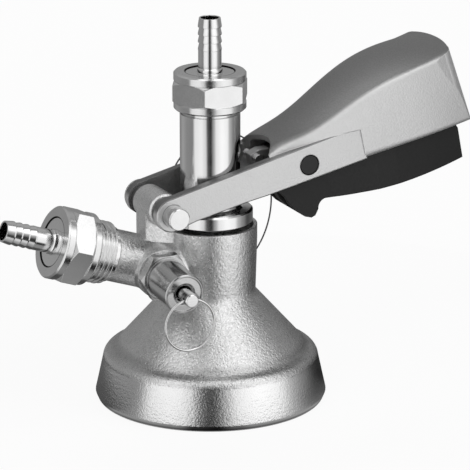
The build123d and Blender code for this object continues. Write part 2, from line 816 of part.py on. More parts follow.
finish(lever_handle, "lever_handle")

with BuildPart() as trigger_pin:
    with BuildSketch(lever_side):
        with Locations((trigger_pivot_s, trigger_pivot_t)):
            Circle(trigger_pin_radius)
    extrude(amount=arm_outer - 0.3, both=True)
    chamfer(trigger_pin.edges().filter_by(GeomType.CIRCLE), trigger_pin_edge)
finish(trigger_pin, "trigger_pin")

# ---- trigger ----
trigger_end = hood_end - trigger_setback
trigger_side_corner = fulcrum + lever_dir * (trigger_end - 0.4) - lever_up * 23.4
with BuildPart() as trigger:
    with BuildSketch(lever_side) as trigger_side:
        with BuildLine():
            nose = Polyline(
                (52.0, -4.0),
                (50.8, -8.0),
                (54.3, -12.9),
                (55.7, -16.9),
                (58.6, -21.6),
                (61.6, -24.8),
                (64.6, -26.4),
                (66.6, -26.0),
                (68.6, -23.6),
            )
            scallop = ThreePointArc(nose @ 1, (69.8, -21.2), (72.8, -20.0))
            grip = ThreePointArc(scallop @ 1, (108, -24.7), (trigger_end - 0.4, -23.4))
            Polyline(
                grip @ 1,
                (trigger_end, -9.6),
                (trigger_end - 2.2, -4.0),
                (104.0, -1.0),
                (76.0, 5.6),
                (62.0, 6.6),
                (56.0, 3.0),
                (52.0, -4.0),
            )
        make_face()
        end_corner = trigger_side.vertices().sort_by_distance(trigger_side_corner)[0]
        fillet(end_corner, 2.5)
    extrude(amount=trigger_half_width, both=True)
    # seen from above it is narrow between the arms and widens under the hood
    with BuildSketch(Plane(origin=fulcrum, x_dir=(0, -1, 0), z_dir=lever_up)):
        with BuildLine():
            Polyline(
                (-trigger_nose_half_width, 40),
                (-trigger_nose_half_width, 76),
                (-12.2, 90),
                (-13.6, 98),
                (-trigger_half_width, 108),
                (-trigger_half_width, trigger_end + 1.8),
                (trigger_half_width, trigger_end + 1.8),
                (trigger_half_width, 108),
                (13.6, 98),
                (12.2, 90),
                (trigger_nose_half_width, 76),
                (trigger_nose_half_width, 40),
                close=True,
            )
        make_face()
    extrude(amount=40, both=True, mode=Mode.INTERSECT)
    # tongue that carries the latch pin
    with BuildSketch(lever_side):
        Polygon((46.0, 3.6), (53.0, 1.0), (60.0, -2.0), (62.0, 6.6), (50.6, 8.6), (46.0, 7.8),
                align=None)
    extrude(amount=2.6, both=True)
    # pockets in the nose between three ribs
    for side in (-1, 1):
        with BuildSketch(lever_side.offset(side * 5.6)):
            Polygon((46.0, -5.5), (53.0, -26.0), (60.8, -24.6), (63.5, -23.0), (57.0, -5.5),
                    align=None)
        extrude(amount=3.3, both=True, mode=Mode.SUBTRACT)
    # pivot bore, latch pin bore and the pocket for the return spring
    with BuildSketch(lever_side):
        with Locations((trigger_pivot_s, trigger_pivot_t)):
            Circle(trigger_pin_radius + running_clearance)
        with Locations((latch_pin_s, latch_pin_t)):
            Circle(latch_pin_radius)
    extrude(amount=trigger_half_width + 1, both=True, mode=Mode.SUBTRACT)
    pocket_half = (trigger_spring_length + trigger_spring_wire) / 2 + free_clearance
    with BuildSketch(lever_side):
        with Locations((trigger_pivot_s, trigger_pivot_t)):
            Circle(trigger_pocket_radius)
        with Locations((trigger_pivot_s, trigger_pivot_t + trigger_pocket_radius / 2 + 3)):
            Rectangle(2 * trigger_pocket_radius, trigger_pocket_radius + 6)
    extrude(amount=pocket_half, both=True, mode=Mode.SUBTRACT)
finish(trigger, "trigger")

with BuildPart() as latch_pin:
    with BuildSketch(lever_side):
        with Locations((latch_pin_s, latch_pin_t)):
            Circle(latch_pin_radius)
    extrude(amount=latch_pin_half_length, both=True)
finish(latch_pin, "latch_pin")

pivot = fulcrum + lever_dir * trigger_pivot_s + lever_up * trigger_pivot_t
trigger_spring_frame = Plane(origin=pivot + Vector(0, trigger_spring_length / 2, 0),
                             x_dir=lever_dir, z_dir=(0, -1, 0))
make_spring(trigger_spring_frame, trigger_spring_radius, trigger_spring_wire,
            trigger_spring_wire + 0.3, trigger_spring_length, "trigger_spring")
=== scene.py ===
"""Keg coupler: spigot thread, finishes and studio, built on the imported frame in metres."""
import math

import bmesh
import bpy
from bpy.props import FloatProperty, PointerProperty
from mathutils import Matrix, Vector


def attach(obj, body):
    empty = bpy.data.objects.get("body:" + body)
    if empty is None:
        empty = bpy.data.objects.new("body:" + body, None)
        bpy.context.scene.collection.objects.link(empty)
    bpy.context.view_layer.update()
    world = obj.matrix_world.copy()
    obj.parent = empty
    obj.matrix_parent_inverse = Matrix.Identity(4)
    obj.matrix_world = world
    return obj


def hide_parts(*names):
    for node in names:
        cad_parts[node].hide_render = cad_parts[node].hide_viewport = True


bl_info = {
    "name": "Keg Coupler Parts",
    "version": (1, 0, 0),
    "blender": (4, 5, 0),
    "location": "View3D > Sidebar > Coupler",
    "description": "Spigot thread, metal and plastic finishes and a studio for a keg coupler",
    "category": "Object",
}

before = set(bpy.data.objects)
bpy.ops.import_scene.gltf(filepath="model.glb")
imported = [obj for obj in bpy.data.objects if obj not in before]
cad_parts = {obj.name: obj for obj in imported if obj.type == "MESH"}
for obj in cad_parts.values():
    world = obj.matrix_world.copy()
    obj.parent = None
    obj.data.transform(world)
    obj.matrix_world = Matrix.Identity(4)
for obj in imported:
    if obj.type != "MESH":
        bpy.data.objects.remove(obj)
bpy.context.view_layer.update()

MM = 0.001
GAS_TILT = math.radians(19.0)
GAS_HEIGHT = 53.4
GAS_ORIGIN = Vector((0, 0, GAS_HEIGHT)) * MM
GAS_DIR = Vector((-math.cos(GAS_TILT), 0, math.sin(GAS_TILT)))
LEVER_TILT = math.radians(12.8)
LEVER_DIR = Vector((math.cos(LEVER_TILT), 0, math.sin(LEVER_TILT)))
LEVER_UP = Vector((-math.sin(LEVER_TILT), 0, math.cos(LEVER_TILT)))
RELIEF_DROOP = math.radians(5.0)
RELIEF_DIR = Vector((0, -math.cos(RELIEF_DROOP), -math.sin(RELIEF_DROOP)))
RELIEF_REACH = 29.2
RELIEF_ORIGIN = Vector((-RELIEF_REACH, 0, GAS_HEIGHT + RELIEF_REACH * math.tan(GAS_TILT))) * MM
FULCRUM = Vector((-25.3, 0, 88.6)) * MM
TRIGGER_PIVOT = FULCRUM + LEVER_DIR * 0.0661 - LEVER_UP * 0.0002
CAMERA_SIDE = Vector((-0.4277, -0.9039, 0))
TENT_TURN = -math.atan2(CAMERA_SIDE.y, CAMERA_SIDE.x)


# ---- shader maths ----
class Value:
    """A shader socket that can be added, multiplied and so on, one Math node for each sign."""

    def __init__(self, finish, socket):
        self.finish = finish
        self.socket = socket

    def other(self, name):
        """Another output of the node this socket belongs to."""
        return Value(self.finish, self.socket.node.outputs[name])

    def maths(self, operation, *values):
        return self.finish.node("ShaderNodeMath", {"operation": operation}, values)

    def __add__(self, value):
        return self.maths("ADD", self, value)

    def __rsub__(self, value):
        return self.maths("SUBTRACT", value, self)

    def __mul__(self, value):
        return self.maths("MULTIPLY", self, value)

    def __pow__(self, value):
        return self.maths("POWER", self, value)

    def __abs__(self):
        return self.maths("ABSOLUTE", self)

    __radd__ = __add__
    __rmul__ = __mul__


class Graph:
    """A node tree under construction."""

    def __init__(self, tree):
        self.tree = tree

    def node(self, kind, settings=None, inputs=()):
        """Adds a node, sets it, fills its sockets and returns its first output in use."""
        made = self.tree.nodes.new(kind)
        for key, value in (settings or {}).items():
            setattr(made, key, value)
        pairs = inputs.items() if isinstance(inputs, dict) else enumerate(inputs)
        for key, value in pairs:
            if isinstance(value, Value):
                self.tree.links.new(value.socket, made.inputs[key])
            else:
                made.inputs[key].default_value = value
        shown = [output for output in made.outputs if output.enabled]
        return Value(self, shown[0])

    def feed(self, node, socket, value):
        """Links a value to a socket of a node that the tree starts with."""
        self.tree.links.new(value.socket, self.tree.nodes[node].inputs[socket])


class Finish(Graph):
    """One procedural material under construction."""

    def __init__(self, name):
        self.material = bpy.data.materials.new(name)
        self.material.use_nodes = True
        super().__init__(self.material.node_tree)
        self.shader = self.tree.nodes["Principled BSDF"]
        self.place = self.node("ShaderNodeTexCoord").other("Object")

    def noise(self, scale, detail=2.0, stretch=None, roughness=0.5):
        """Noise from 0 to 1 over the piece, drawn out along an axis if stretch is given."""
        place = self.place
        if stretch is not None:
            place = self.node("ShaderNodeMapping", None, {"Vector": place, "Scale": stretch})
        inputs = {"Vector": place, "Scale": scale, "Detail": detail, "Roughness": roughness}
        return self.node("ShaderNodeTexNoise", None, inputs)

    def ramp(self, value, low, high, start=0.0, end=1.0):
        """Smooth step of a value from low to high."""
        settings = {"interpolation_type": "SMOOTHSTEP"}
        return self.node("ShaderNodeMapRange", settings, (value, low, high, start, end))

    def levels(self, value, stops):
        """Grey level that runs smoothly through a list of (value, level) stops."""
        made = self.node("ShaderNodeValToRGB", None, (value,))
        ramp = made.socket.node.color_ramp
        ramp.interpolation = "EASE"
        for place, level in stops[1:-1]:
            ramp.elements.new(place)
        for element, (place, level) in zip(ramp.elements, stops):
            element.position = place
            element.color = (level, level, level, 1.0)
        return made

    def along(self, direction, origin=(0, 0, 0)):
        """Distance along a direction from an origin, in metres."""
        gap = self.node("ShaderNodeVectorMath", {"operation": "SUBTRACT"}, (self.place, origin))
        settings = {"operation": "DOT_PRODUCT"}
        return self.node("ShaderNodeVectorMath", settings, (gap, direction)).other("Value")

    def from_axis(self, origin, first, second):
        """Distance from a line, given two directions square to it."""
        return (self.along(first, origin) ** 2 + self.along(second, origin) ** 2) ** 0.5

    def mix(self, factor, first, second):
        """Blend of two colours."""
        return self.node("ShaderNodeMix", {"data_type": "RGBA"},
                         {0: factor, 6: first, 7: second})

    def bump(self, height, distance, strength=1.0, under=None):
        """Normal from a height, over another normal if one is given."""
        inputs = {"Height": height, "Distance": distance, "Strength": strength}
        if under is not None:
            inputs["Normal"] = under
        return self.node("ShaderNodeBump", None, inputs)

    def blend(self, factor, first, second):
        """Blend of two vectors."""
        return self.node("ShaderNodeMix", {"data_type": "VECTOR"},
                         {0: factor, 4: first, 5: second})

    def tone(self):
        """The colour that the surface shader has so far."""
        return Value(self, self.shader.inputs["Base Color"].links[0].from_socket)

    def worn_edge(self, radius):
        """Normal rounded over at the edges."""
        return self.node("ShaderNodeBevel", {"samples": 6}, {"Radius": radius})

    def set(self, **sockets):
        """Sets the surface shader's sockets; underscores stand for spaces."""
        for key, value in sockets.items():
            socket = self.shader.inputs[key.replace("_", " ")]
            if isinstance(value, Value):
                self.tree.links.new(value.socket, socket)
            else:
                socket.default_value = value
        return self.material


def grey(level):
    """A neutral colour, as four numbers."""
    return (level, level, level, 1.0)


# where the masks of the finishes and of the painted shade start and end, in metres
BAND_TOP = (0.0175, 0.0195)
# painted shade at the bottom of the foot, by height
FOOT_SHADE = (0.0006, 0.0020)
# painted shade in the groove just above the band, by height
RIDGE_SHADE_RISE, RIDGE_SHADE_FALL = (0.0200, 0.0225), (0.0235, 0.0262)
NECK_RISE, NECK_FALL = (0.0405, 0.0440), (0.0515, 0.0560)
# painted shadow round each nut's mouth, by distance from its axis
NUT_LIP_SHADOW = (0.0109, 0.0112)
# painted shade inside the relief valve's open bore
RELIEF_BORE, RELIEF_BORE_END = (0.0036, 0.0039), (0.0374, 0.0377)
RELIEF_FACE = (0.0372, 0.0375)
# painted shade in a ring under the rim of the relief valve's end face
RELIEF_SHADE_RING_IN, RELIEF_SHADE_RING_OUT = (0.0070, 0.0072), (0.0076, 0.0078)
# painted shade round the rim of each trigger pin end
PIN_GAP_SHADE = (0.0039, 0.0042)
GRIP_START = (0.044, 0.060)
# painted shade on the arms' inner faces, by distance from the middle
ARM_INSIDE_SHADE = (0.0132, 0.0135)
TONGUE_END, TONGUE_FOOT, TONGUE_SIDE = (0.0550, 0.0555), (0.0000, 0.0004), (0.0027, 0.0028)


def cast_steel(props):
    """Bead-blasted casting: sparkling grain, a smoother bright band at the foot, painted shade
    at the bottom of the foot and in the groove just above the band.
    """
    finish = Finish("cast_steel")
    height = finish.along((0, 0, 1))
    band = 1 - finish.ramp(height, *BAND_TOP)
    # painted shade: a dark strip at the bottom of the foot and one in the groove where the cone
    # meets the band
    foot_shade = 1 - finish.ramp(height, *FOOT_SHADE)
    ridge_shade = finish.ramp(height, *RIDGE_SHADE_RISE) * (1 - finish.ramp(height, *RIDGE_SHADE_FALL))
    neck = finish.ramp(height, *NECK_RISE) * (1 - finish.ramp(height, *NECK_FALL))
    grain = finish.noise(1250, 2.0, roughness=0.6)
    pits = finish.noise(620, 3.0, roughness=0.65)
    cloud = finish.noise(70, 3.0)
    rings = finish.noise(1.0, 3.0, stretch=(90, 90, 1100))
    tone = finish.mix(cloud, grey(props.cast_grey * 0.86), grey(props.cast_grey * 1.08))
    specks = finish.ramp(pits, 0.52, 0.70)
    tone = finish.mix(specks * 0.22 * (1 - band), tone, grey(0.12))
    tone = finish.mix(band, tone, grey(props.cast_grey * 1.10))
    # painted shade laid over the casting's tone at the foot and in the groove
    tone = finish.mix(foot_shade * 0.75 + ridge_shade * 0.30, tone, grey(0.10))
    rough = finish.ramp(grain, 0.35, 0.65, 0.25, 0.36) * (1 - band * 0.45) + cloud * 0.03
    edge = finish.blend(neck, finish.worn_edge(0.0007), finish.worn_edge(0.0050))
    relief = finish.bump(grain * (1 - band * 0.5), 0.00022, 0.8, edge)
    relief = finish.bump(pits * (1 - band * 0.8), 0.00030, 0.8, relief)
    relief = finish.bump(rings * band, 0.00005, 0.8, relief)
    return finish.set(Base_Color=tone, Metallic=1.0, Roughness=rough, Normal=relief)


def turned_steel(props, name="turned_steel"):
    """Satin steel with fine turning marks."""
    finish = Finish(name)
    cloud = finish.noise(120, 2.0)
    grain = finish.noise(1500, 2.0)
    tone = finish.mix(cloud, grey(props.steel_grey * 0.90), grey(props.steel_grey * 1.06))
    rough = finish.ramp(grain, 0.3, 0.7, 0.12, 0.22)
    edge = finish.worn_edge(0.00035)
    relief = finish.bump(grain, 0.00002, 0.4, edge)
    finish.set(Base_Color=tone, Metallic=1.0, Roughness=rough, Normal=relief)
    return finish


def nut_steel(props, name, origin, first, second):
    """Satin steel, with a painted shadow round the mouth where the hose tail comes out of the
    nut.
    """
    finish = turned_steel(props, name)
    tone = finish.tone()
    away = finish.from_axis(origin, first, second)
    # painted shadow in the gap round the hose tail at the nut's mouth
    lip_shadow = 1 - finish.ramp(away, *NUT_LIP_SHADOW)
    return finish.set(Base_Color=finish.mix(lip_shadow, tone, grey(0.01)))


def relief_steel(props):
    """Satin steel, with painted shade inside the open bore and in a ring under the rim of the
    end face, and a darker end face.
    """
    finish = turned_steel(props, "relief_steel")
    tone = finish.tone()
    away = finish.from_axis(RELIEF_ORIGIN, (1, 0, 0), RELIEF_DIR.cross(Vector((1, 0, 0))))
    deep = finish.along(RELIEF_DIR, RELIEF_ORIGIN)
    # painted shade deep in the open bore round the pin
    bore = (1 - finish.ramp(away, *RELIEF_BORE)) * (1 - finish.ramp(deep, *RELIEF_BORE_END))
    face = finish.ramp(deep, *RELIEF_FACE)
    ring = finish.ramp(away, *RELIEF_SHADE_RING_IN) * (1 - finish.ramp(away, *RELIEF_SHADE_RING_OUT))
    tone = finish.mix(0.35, tone, grey(0.20))
    # painted shade in the bore and in the ring under the rim of the end face
    tone = finish.mix(bore, tone, grey(0.015))
    tone = finish.mix(face * 0.25 + face * ring * 0.4, tone, grey(0.10))
    return finish.set(Base_Color=tone)


def pin_plastic(props):
    """The trigger pin's black plastic, with painted shade round the rim of each end, where the
    pin meets its hole.
    """
    finish = Finish("pin_plastic")
    away = finish.from_axis(TRIGGER_PIVOT, LEVER_DIR, LEVER_UP)
    # painted shade: the outer rim of each pin end darkened for the shadowed gap round the pin
    rim = finish.ramp(away, *PIN_GAP_SHADE)
    grain = finish.noise(1300, 3.0)
    black = props.plastic_black
    tone = finish.mix(rim, grey(black * 1.9), grey(black * 0.1))
    rough = finish.ramp(grain, 0.3, 0.7, 0.34, 0.50) + rim * 0.3
    relief = finish.bump(grain, 0.00005, 0.5)
    return finish.set(Base_Color=tone, Roughness=rough, Normal=relief, Specular_IOR_Level=0.28)


def polished_steel(props):
    """Bright drawn steel, faintly streaked round the piece."""
    finish = Finish("polished_steel")
    streak = finish.noise(1.0, 3.0, stretch=(50, 50, 2400))
    smear = finish.noise(90, 2.0)
    tone = finish.mix(smear, grey(props.steel_grey), grey(props.steel_grey * 1.12))
    rough = finish.ramp(smear, 0.35, 0.7, 0.08, 0.16)
    edge = finish.worn_edge(0.00030)
    relief = finish.bump(streak, 0.00002, 0.6, edge)
    return finish.set(Base_Color=tone, Metallic=1.0, Roughness=rough, Normal=relief)


def dark_steel(name, low, high):
    """Dull dark steel; on the fulcrum spacers the darkness is painted shade."""
    finish = Finish(name)
    smear = finish.noise(300, 2.0)
    tone = finish.mix(smear, grey(low), grey(high))
    rough = finish.ramp(smear, 0.3, 0.7, 0.32, 0.42)
    return finish.set(Base_Color=tone, Metallic=1.0, Roughness=rough)


def lever_metal(props):
    """Satin light grey metal, with painted shade on the grip's upward-facing top and on the
    arms' edges and insides.
    """
    finish = Finish("lever_metal")
    facing = finish.node("ShaderNodeTexCoord").other("Normal")
    upward = finish.node("ShaderNodeVectorMath", {"operation": "DOT_PRODUCT"},
                         (facing, LEVER_UP)).other("Value")
    along = finish.along(LEVER_DIR, FULCRUM)
    across = abs(finish.along((0, 1, 0)))
    grip = finish.ramp(along, *GRIP_START)
    # painted shade: the grip's top where it faces up, the arms' upper and lower edges and the
    # arms' inner faces
    top = finish.ramp(upward, 0.35, 0.75) * grip
    rim = finish.ramp(abs(upward), 0.30, 0.65) * (1 - grip)
    inside = (1 - finish.ramp(across, *ARM_INSIDE_SHADE)) * (1 - grip)
    grain = finish.noise(1400, 2.0)
    fine = finish.noise(700, 3.0)
    cloud = finish.noise(40, 2.0)
    tone = finish.mix(cloud * 0.6 + grain * 0.4, grey(props.lever_grey * 0.90),
                      grey(props.lever_grey * 1.08))
    # painted shade laid over the lever's tone
    tone = finish.mix(top, tone, grey(props.grip_top_shade_grey))
    tone = finish.mix(rim * 0.8, tone, grey(0.10))
    tone = finish.mix(inside * 0.75, tone, grey(0.12))
    rough = finish.ramp(grain, 0.3, 0.7, 0.36, 0.52) + top * 0.08
    edge = finish.worn_edge(0.0006)
    relief = finish.bump(grain, 0.00014, 0.7, edge)
    relief = finish.bump(fine, 0.00010, 0.6, relief)
    return finish.set(Base_Color=tone, Metallic=0.85, Roughness=rough, Normal=relief)


def moulded_plastic(name, colour, rough_low, rough_high, shine):
    """Moulded plastic with a fine spark-eroded grain."""
    finish = Finish(name)
    grain = finish.noise(1300, 3.0)
    cloud = finish.noise(60, 2.0)
    tone = finish.mix(cloud, grey(colour * 0.85), grey(colour * 1.15))
    rough = finish.ramp(grain, 0.3, 0.7, rough_low, rough_high)
    edge = finish.worn_edge(0.0005)
    relief = finish.bump(grain, 0.00005, 0.5, edge)
    finish.set(Base_Color=tone, Roughness=rough, Normal=relief, Specular_IOR_Level=shine)
    return finish


def trigger_plastic(props):
    """Black plastic, with the latch tongue at the front left as bare metal."""
    finish = moulded_plastic("trigger_plastic", props.plastic_black, 0.34, 0.50, 0.28)
    tone = finish.tone()
    along = finish.along(LEVER_DIR, FULCRUM)
    up = finish.along(LEVER_UP, FULCRUM)
    across = abs(finish.along((0, 1, 0)))
    tongue = (1 - finish.ramp(along, *TONGUE_END)) * finish.ramp(up, *TONGUE_FOOT)
    tongue = tongue * (1 - finish.ramp(across, *TONGUE_SIDE))
    return finish.set(Base_Color=finish.mix(tongue, tone, grey(0.45)), Metallic=tongue * 0.9)


def rubber():
    """Matt black seal rubber."""
    finish = Finish("seal_rubber")
    grain = finish.noise(900, 3.0)
    tone = finish.mix(grain, grey(0.018), grey(0.035))
    rough = finish.ramp(grain, 0.2, 0.8, 0.55, 0.75)
    relief = finish.bump(grain, 0.00004, 0.5)
    return finish.set(Base_Color=tone, Roughness=rough, Normal=relief)


# ---- pieces ----
def new_piece(name, mesh, material, body, slot, *nodes):
    """Finishes a piece: links it, gives its material, and rides it on its body; the slot is not
    used.
    """
    piece = bpy.data.objects.new(name, mesh)
    bpy.context.scene.collection.objects.link(piece)
    mesh.materials.append(material)
    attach(piece, body)
    if nodes:
        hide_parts(*nodes)
    return piece


def axis_matrix(origin, direction):
    """Puts the local Z axis along a direction from an origin, with the local X on world Y."""
    side = Vector((0, 1, 0))
    across = direction.cross(side)
    turn = Matrix((side, across, direction)).transposed().to_4x4()
    return Matrix.Translation(origin) @ turn


def spun(bm, points, steps=96):
    """Adds a surface of revolution round Z from (radius, height) points given in mm."""
    rings = [bm.verts.new((radius * MM, 0, height * MM)) for radius, height in points]
    edges = [bm.edges.new(pair) for pair in zip(rings, rings[1:])]
    bmesh.ops.spin(bm, geom=rings + edges, cent=(0, 0, 0), axis=(0, 0, 1), dvec=(0, 0, 0),
                   angle=math.tau, steps=steps, use_merge=True)


# gas spigot, in millimetres along and out from its axis
THREAD_START, THREAD_END = 53.4, 71.8
THREAD_ROOT = 12.35
SPIGOT_CORE = 12.0
SPIGOT_BORE = 5.5
SPIGOT_FOOT = 46.0
SEAT_RADIUS, SEAT_HEIGHT = 9.0, 51.0
THREAD_STEPS = 72             # facets round one turn
SHARP_EDGE = math.radians(35)


def threaded_spigot(props):
    """Mesh of the gas spigot: a plain stub, a relief and a true helical thread."""
    bm = bmesh.new()
    root, crest = THREAD_ROOT, props.thread_radius
    pitch = props.thread_pitch
    start, end = THREAD_START, THREAD_END
    turns = int((end - start) / pitch) + 2
    steps = THREAD_STEPS
    # one pitch of the profile, as (radius, share of the pitch)
    section = [(root, 0.0), (root, 0.10), (crest, 0.42), (crest, 0.60), (root, 0.92),
               (root, 1.0)]
    verts = [bm.verts.new((radius * MM, 0, (start - pitch + share * pitch) * MM))
             for radius, share in section]
    edges = [bm.edges.new(pair) for pair in zip(verts, verts[1:])]
    bmesh.ops.spin(bm, geom=verts + edges, cent=(0, 0, 0), axis=(0, 0, 1),
                   dvec=(0, 0, pitch * MM / steps), angle=math.tau * turns,
                   steps=steps * turns, use_merge=False)
    bmesh.ops.remove_doubles(bm, verts=bm.verts, dist=1e-6)
    for height, outward in ((start, -1), (end, 1)):
        bmesh.ops.bisect_plane(bm, geom=bm.verts[:] + bm.edges[:] + bm.faces[:], dist=1e-7,
                               plane_co=(0, 0, height * MM), plane_no=(0, 0, outward),
                               clear_outer=True)
        rim = [edge for edge in bm.edges if edge.is_boundary
               and all(abs(v.co.z - height * MM) < 1e-6 for v in edge.verts)]
        made = bmesh.ops.extrude_edge_only(bm, edges=rim)["geom"]
        for vert in [item for item in made if isinstance(item, bmesh.types.BMVert)]:
            flat = Vector((vert.co.x, vert.co.y, 0)).normalized() * SPIGOT_CORE * MM
            vert.co = Vector((flat.x, flat.y, vert.co.z))
    spun(bm, [(SPIGOT_CORE, end), (SPIGOT_BORE, end), (SPIGOT_BORE, SPIGOT_FOOT),
              (SEAT_RADIUS, SPIGOT_FOOT), (SEAT_RADIUS, SEAT_HEIGHT),
              (SPIGOT_CORE, SEAT_HEIGHT), (SPIGOT_CORE, start)], steps)
    bmesh.ops.recalc_face_normals(bm, faces=bm.faces)
    bmesh.ops.transform(bm, matrix=axis_matrix(GAS_ORIGIN, GAS_DIR), verts=bm.verts)
    mesh = bpy.data.meshes.new("threaded_spigot")
    bm.to_mesh(mesh)
    bm.free()
    mesh.shade_smooth()
    mesh.set_sharp_from_angle(angle=SHARP_EDGE)
    return mesh


# ---- settings ----
class CouplerLooks(bpy.types.PropertyGroup):
    """Sizes and tones of the coupler that can be changed."""

    cast_grey: FloatProperty(name="Casting grey", description="Tone of the blasted casting",
                             default=0.74, min=0, max=1)
    steel_grey: FloatProperty(name="Steel grey", description="Tone of the turned steel",
                              default=0.71, min=0, max=1)
    lever_grey: FloatProperty(name="Lever grey", description="Tone of the lever's arms",
                              default=0.63, min=0, max=1)
    # painted shade on the grip's top
    grip_top_shade_grey: FloatProperty(name="Grip top grey", description="Tone of the grip's top",
                                 default=0.27, min=0, max=1)
    plastic_black: FloatProperty(name="Plastic black", description="Tone of the trigger",
                                 default=0.009, min=0, max=1)
    thread_radius: FloatProperty(name="Thread radius", description="Crest radius in mm",
                                 default=13.6)
    thread_pitch: FloatProperty(name="Thread pitch", description="Pitch in mm", default=2.3)
    tent_back_grey: FloatProperty(name="Tent back grey", default=0.30, min=0,
                                  description="Brightness of the reflected studio behind")
    tent_back_low: FloatProperty(name="Tent back height", default=0.05, unit="LENGTH",
                                 description="Height above which the tent is dim behind")


def looks():
    """The scene's settings for the coupler."""
    return bpy.context.scene.coupler_looks


def paint(material, *nodes):
    """Gives CAD nodes a material."""
    for node in nodes:
        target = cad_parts[node]
        target.data.materials.clear()
        target.data.materials.append(material)


# ---- operators ----
class COUPLER_OT_castings(bpy.types.Operator):
    """Finish the cast body"""

    bl_idname = "coupler.castings"
    bl_label = "Finish castings"

    def execute(self, context):
        paint(cast_steel(looks()), "coupler_body")
        return {"FINISHED"}


class COUPLER_OT_steel(bpy.types.Operator):
    """Finish the turned and polished steel pieces"""

    bl_idname = "coupler.steel"
    bl_label = "Finish steel pieces"

    def execute(self, context):
        satin = turned_steel(looks()).material
        paint(relief_steel(looks()), "relief_body")
        across = Vector((1, 0, 0))
        side = Vector((0, 1, 0))
        paint(nut_steel(looks(), "beer_nut_steel", (0, 0, 0), across, side), "beer_nut")
        paint(nut_steel(looks(), "gas_nut_steel", GAS_ORIGIN, GAS_DIR.cross(side), side),
              "gas_nut")
        paint(satin, "fulcrum_pin", "fulcrum_clip", "latch_pin", "relief_spring",
              "trigger_spring")
        bright = polished_steel(looks())
        paint(bright, "beer_tail", "gas_tail", "probe", "pull_ring", "relief_pin")
        paint(dark_steel("dark_wire", 0.10, 0.16), "keeper_wire")
        # painted shade: the fulcrum spacers are made dark for the shadow in the gaps beside the
        # barrel
        paint(dark_steel("spacer_painted_shade", 0.22, 0.34), "fulcrum_spacer_front",
              "fulcrum_spacer_rear")
        new_piece("spigot_thread", threaded_spigot(looks()), bright, "body", "turned_steel",
                  "gas_spigot")
        return {"FINISHED"}


class COUPLER_OT_lever(bpy.types.Operator):
    """Finish the lever, the trigger and their pins"""

    bl_idname = "coupler.lever"
    bl_label = "Finish lever"

    def execute(self, context):
        paint(lever_metal(looks()), "lever_handle")
        paint(trigger_plastic(looks()), "trigger")
        paint(pin_plastic(looks()), "trigger_pin")
        return {"FINISHED"}


class COUPLER_OT_seals(bpy.types.Operator):
    """Finish the seals, the check ball and the white plastic pieces"""

    bl_idname = "coupler.seals"
    bl_label = "Finish seals"

    def execute(self, context):
        paint(rubber(), "body_seal", "neck_ring", "gas_check_valve", "gas_washer",
              "beer_washer", "probe_seal")
        white = moulded_plastic("white_plastic", 0.78, 0.32, 0.45, 0.5).material
        paint(white, "check_ball", "ball_cage")
        return {"FINISHED"}


# brightness of the reflected studio, by the angle round the object from its back, in degrees
TENT_LEVELS = ((0, 0.22), (30, 0.26), (58, 0.40), (88, 0.30), (112, 0.27), (124, 1.02),
               (148, 1.12), (162, 0.90), (172, 0.10), (184, 0.03), (194, 0.45), (204, 1.05),
               (226, 1.25), (246, 1.15), (261, 0.50), (276, 0.28), (295, 0.07), (325, 0.12),
               (360, 0.22))


# reflected studio, in millimetres
TENT_RADIUS = 240.0
TENT_WALL = 240.0
TENT_DOME = 0.8               # dome's rise as a share of the radius
SHEET_HOLE = 20.0
SHEET_HEIGHT = 0.4

# how its glow changes with place, in metres
BACK_FADE = (-0.12, 0.0)      # along the horizontal direction to the viewer
BACK_RISE = 0.05
SHEET_ONLY = (0.001, 0.004)   # height
SHEET_NEAR = (0.09, 0.17)     # distance from the object's middle
SHEET_SHADE = 0.72
TOP_BOOST = (0.16, 0.30, 1.0, 1.45)


def tent_mesh(steps=64, rows=6):
    """Round floor sheet and wall under a domed top."""
    bm = bmesh.new()
    points = [(SHEET_HOLE, SHEET_HEIGHT), (TENT_RADIUS, SHEET_HEIGHT), (TENT_RADIUS, TENT_WALL)]
    for row in range(1, rows + 1):
        angle = math.radians(90 * row / rows)
        points.append((TENT_RADIUS * math.cos(angle),
                       TENT_WALL + TENT_RADIUS * TENT_DOME * math.sin(angle)))
    spun(bm, points, steps)
    bmesh.ops.remove_doubles(bm, verts=bm.verts, dist=1e-5)
    mesh = bpy.data.meshes.new("tent")
    bm.to_mesh(mesh)
    bm.free()
    mesh.shade_smooth()
    return mesh


def tent_glow(props):
    """Emission of the tent: bright and dark columns, dim behind and overhead."""
    finish = Finish("tent_glow")
    turned = finish.node("ShaderNodeMapping", None,
                         {"Vector": finish.place, "Rotation": (0, 0, TENT_TURN)})
    angle = finish.node("ShaderNodeTexGradient", {"gradient_type": "RADIAL"}, (turned,))
    columns = finish.levels(angle.other("Fac"), [(a / 360, v) for a, v in TENT_LEVELS])
    height = finish.along((0, 0, 1))
    behind = 1 - finish.ramp(finish.along(CAMERA_SIDE), *BACK_FADE)
    above = finish.ramp(height, props.tent_back_low, props.tent_back_low + BACK_RISE)
    dim = behind * above
    level = columns * (1 - dim) + dim * props.tent_back_grey
    away = finish.node("ShaderNodeVectorMath", {"operation": "LENGTH"}, (finish.place,))
    sheet = 1 - finish.ramp(height, *SHEET_ONLY)
    near = (1 - finish.ramp(away.other("Value"), *SHEET_NEAR)) * sheet
    level = level * (1 - near * SHEET_SHADE) * finish.ramp(height, *TOP_BOOST)
    glow = finish.node("ShaderNodeEmission", None, {"Color": level})
    finish.feed("Material Output", "Surface", glow)
    return finish.material


